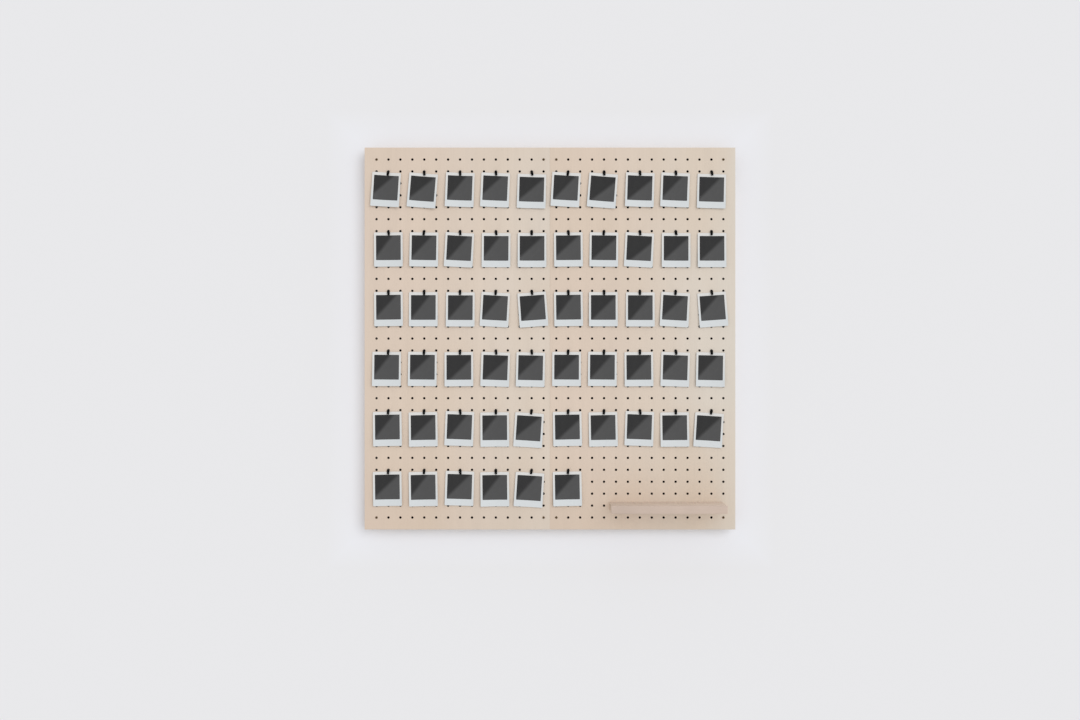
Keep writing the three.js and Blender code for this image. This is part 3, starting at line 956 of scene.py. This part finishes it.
def screw_mesh(length, finish):
    """A cross-head screw along +Y, with the underside of its head at the origin."""
    profile = [(0, -SCREW_HEAD_HEIGHT)]
    dome = SCREW_HEAD_HEIGHT - SCREW_RIM
    for angle in quarter_angles()[1:]:
        profile.append((SCREW_HEAD * math.sin(angle), -SCREW_RIM - dome * math.cos(angle)))
    y = 2 * SCREW_THREAD
    profile += [(SCREW_HEAD, 0), (SCREW_SHANK, 0), (SCREW_SHANK, y)]
    while y + SCREW_THREAD < length - SCREW_POINT:
        profile += [(SCREW_CORE, y + SCREW_THREAD / 2), (SCREW_SHANK, y + SCREW_THREAD)]
        y += SCREW_THREAD
    profile += [(SCREW_CORE, length - SCREW_POINT), (0, length)]
    return cut(turned(profile).mesh("screw", [finish], sharp=35), slot_cutters(), sharp=35)


def add_screws():
    brass = metal("screw_brass", tint(140, 116, 88), tint(92, 74, 56), 0.45, 1500)
    low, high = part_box("panel_screw_top_1")
    mesh = screw_mesh(high.y - low.y - SCREW_HEAD_HEIGHT, brass)
    for end in ("top", "bottom"):
        for i in range(1, SCREWS_ACROSS + 1):
            node = f"panel_screw_{end}_{i}"
            low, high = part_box(node)
            centre = (low + high) / 2
            place = Matrix.Translation((centre.x, low.y + SCREW_HEAD_HEIGHT, centre.z))
            turn = Matrix.Rotation(math.radians(SCREW_TURN * i), 4, "Y")
            add_piece(node + "_head", mesh, "board", node, place @ turn)


# Stage


def seen_from_front(finish):
    """A finish that only the camera and reflections see, and only from the front."""
    path = finish.node("LightPath", {}).outputs
    seen = finish.maths("MAXIMUM", path["Is Camera Ray"], path["Is Glossy Ray"])
    front = finish.maths("SUBTRACT", 1, finish.node("NewGeometry", {}).outputs["Backfacing"])
    clear = finish.node("BsdfTransparent", {}).outputs[0]
    shown = finish.node("MixShader", {
        0: finish.maths("MULTIPLY", seen, front), 1: clear, 2: finish.shader.outputs[0],
    })
    finish.set(finish.tree.nodes["Material Output"], {"Surface": shown.outputs[0]})
    return finish.material


def backdrop_with_painted_shade():
    """Pale backdrop with painted shade that grows dark behind the board, from its edges inwards, and a
    painted cooler, lighter tone just beside it.
    """
    finish = Finish("pale_wall_painted_shade", {"Roughness": 1, "Specular IOR Level": 0})
    low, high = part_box("panel_left")[0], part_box("panel_right")[1]
    centre, half = (low + high) / 2, (high - low) / 2
    place = finish.place(shift=-centre)
    inside_x = finish.maths("SUBTRACT", half.x, finish.maths("ABSOLUTE", finish.axis(place, "X")))
    inside_z = finish.maths("SUBTRACT", half.z, finish.maths("ABSOLUTE", finish.axis(place, "Z")))
    inside = finish.maths("DIVIDE", finish.maths("MINIMUM", inside_x, inside_z), 2 * SHADE_REACH)
    # painted shade: dark greys behind the board, and the painted cooler, lighter tone just beside it
    shade = finish.ramp(finish.maths("ADD", inside, 0.5), [  # 0.5 is at the board's edges
        (0.06, BACKDROP), (0.44, PAINTED_COOL_BESIDE_BOARD), (0.5, PAINTED_COOL_BESIDE_BOARD),
        (0.59, grey(0.05)), (0.75, grey(0.015)), (1, grey(0.003)),
    ])
    finish.set(finish.shader, {"Base Color": shade})
    return seen_from_front(finish)


def pale_floor():
    return seen_from_front(Finish("pale_floor", {
        "Base Color": BACKDROP, "Roughness": 1, "Specular IOR Level": 0,
    }))


def add_plane(name, corners, material):
    mesh = bpy.data.meshes.new(name)
    mesh.from_pydata(corners, [], [(0, 1, 2, 3)])
    mesh.materials.append(material)
    plane = bpy.data.objects.new(name, mesh)
    bpy.context.scene.collection.objects.link(plane)


def add_stage():
    floor = CAD_BOX[0].z - FLOOR_DROP
    top = floor + STAGE_SIZE
    half = STAGE_SIZE / 2
    add_plane("wall", [
        (-half, BACKDROP_GAP, floor), (half, BACKDROP_GAP, floor),
        (half, BACKDROP_GAP, top), (-half, BACKDROP_GAP, top),
    ], backdrop_with_painted_shade())
    add_plane("floor", [
        (-half, -half, floor), (half, -half, floor), (half, half, floor), (-half, half, floor),
    ], pale_floor())


def add_sun(name, towards, level):
    lamp = bpy.data.lights.new(name, "SUN")
    lamp.energy = level
    lamp.angle = SUN_SPREAD
    sun = bpy.data.objects.new(name, lamp)
    bpy.context.scene.collection.objects.link(sun)
    sun.rotation_euler = Vector(towards).to_track_quat("Z", "Y").to_euler()
    sun.visible_glossy = False
    return sun


def let_past(sun, piece):
    """Keep a piece from casting a shadow in the light of one sun."""
    passed = bpy.data.collections.new(piece.name + "_let_past")
    passed.objects.link(piece)
    passed.collection_objects[0].light_linking.link_state = "EXCLUDE"
    sun.light_linking.blocker_collection = passed


def add_suns(shelf):
    """Key light from the front, part of which the shelf lets past, and a light from behind."""
    add_sun("key", KEY_FROM, (1 - KEY_PAST_SHELF) * KEY_LEVEL)
    past_shelf = add_sun("key_past_shelf", KEY_FROM, KEY_PAST_SHELF * KEY_LEVEL)
    let_past(past_shelf, shelf)
    add_sun("back_fill", BACK_FROM, BACK_LEVEL)


def add_world():
    """Even white light, with the backdrop's colour where the camera sees past the stage."""
    world = bpy.data.worlds.new("studio")
    bpy.context.scene.world = world
    world.use_nodes = True
    nodes, links = world.node_tree.nodes, world.node_tree.links
    ambient = nodes["Background"]
    ambient.inputs["Color"].default_value = (1, 1, 1, 1)
    ambient.inputs["Strength"].default_value = AMBIENT_LEVEL
    backdrop = nodes.new("ShaderNodeBackground")
    backdrop.inputs["Color"].default_value = BACKDROP
    path, mixed = nodes.new("ShaderNodeLightPath"), nodes.new("ShaderNodeMixShader")
    links.new(path.outputs["Is Camera Ray"], mixed.inputs[0])
    links.new(ambient.outputs[0], mixed.inputs[1])
    links.new(backdrop.outputs[0], mixed.inputs[2])
    links.new(mixed.outputs[0], nodes["World Output"].inputs["Surface"])


def add_camera():
    data = bpy.data.cameras.new("camera")
    data.lens = CAMERA_LENS
    camera = bpy.data.objects.new("camera", data)
    bpy.context.scene.collection.objects.link(camera)
    camera.location = CAMERA_PLACE
    camera.rotation_euler = (math.radians(90), 0, 0)
    bpy.context.scene.camera = camera


add_camera()
add_panels()
add_photos()
shelf = add_shelf()
add_shelf_pins()
add_battens()
add_screws()
add_stage()
add_suns(shelf)
add_world()
bpy.context.scene.view_settings.view_transform = "Standard"
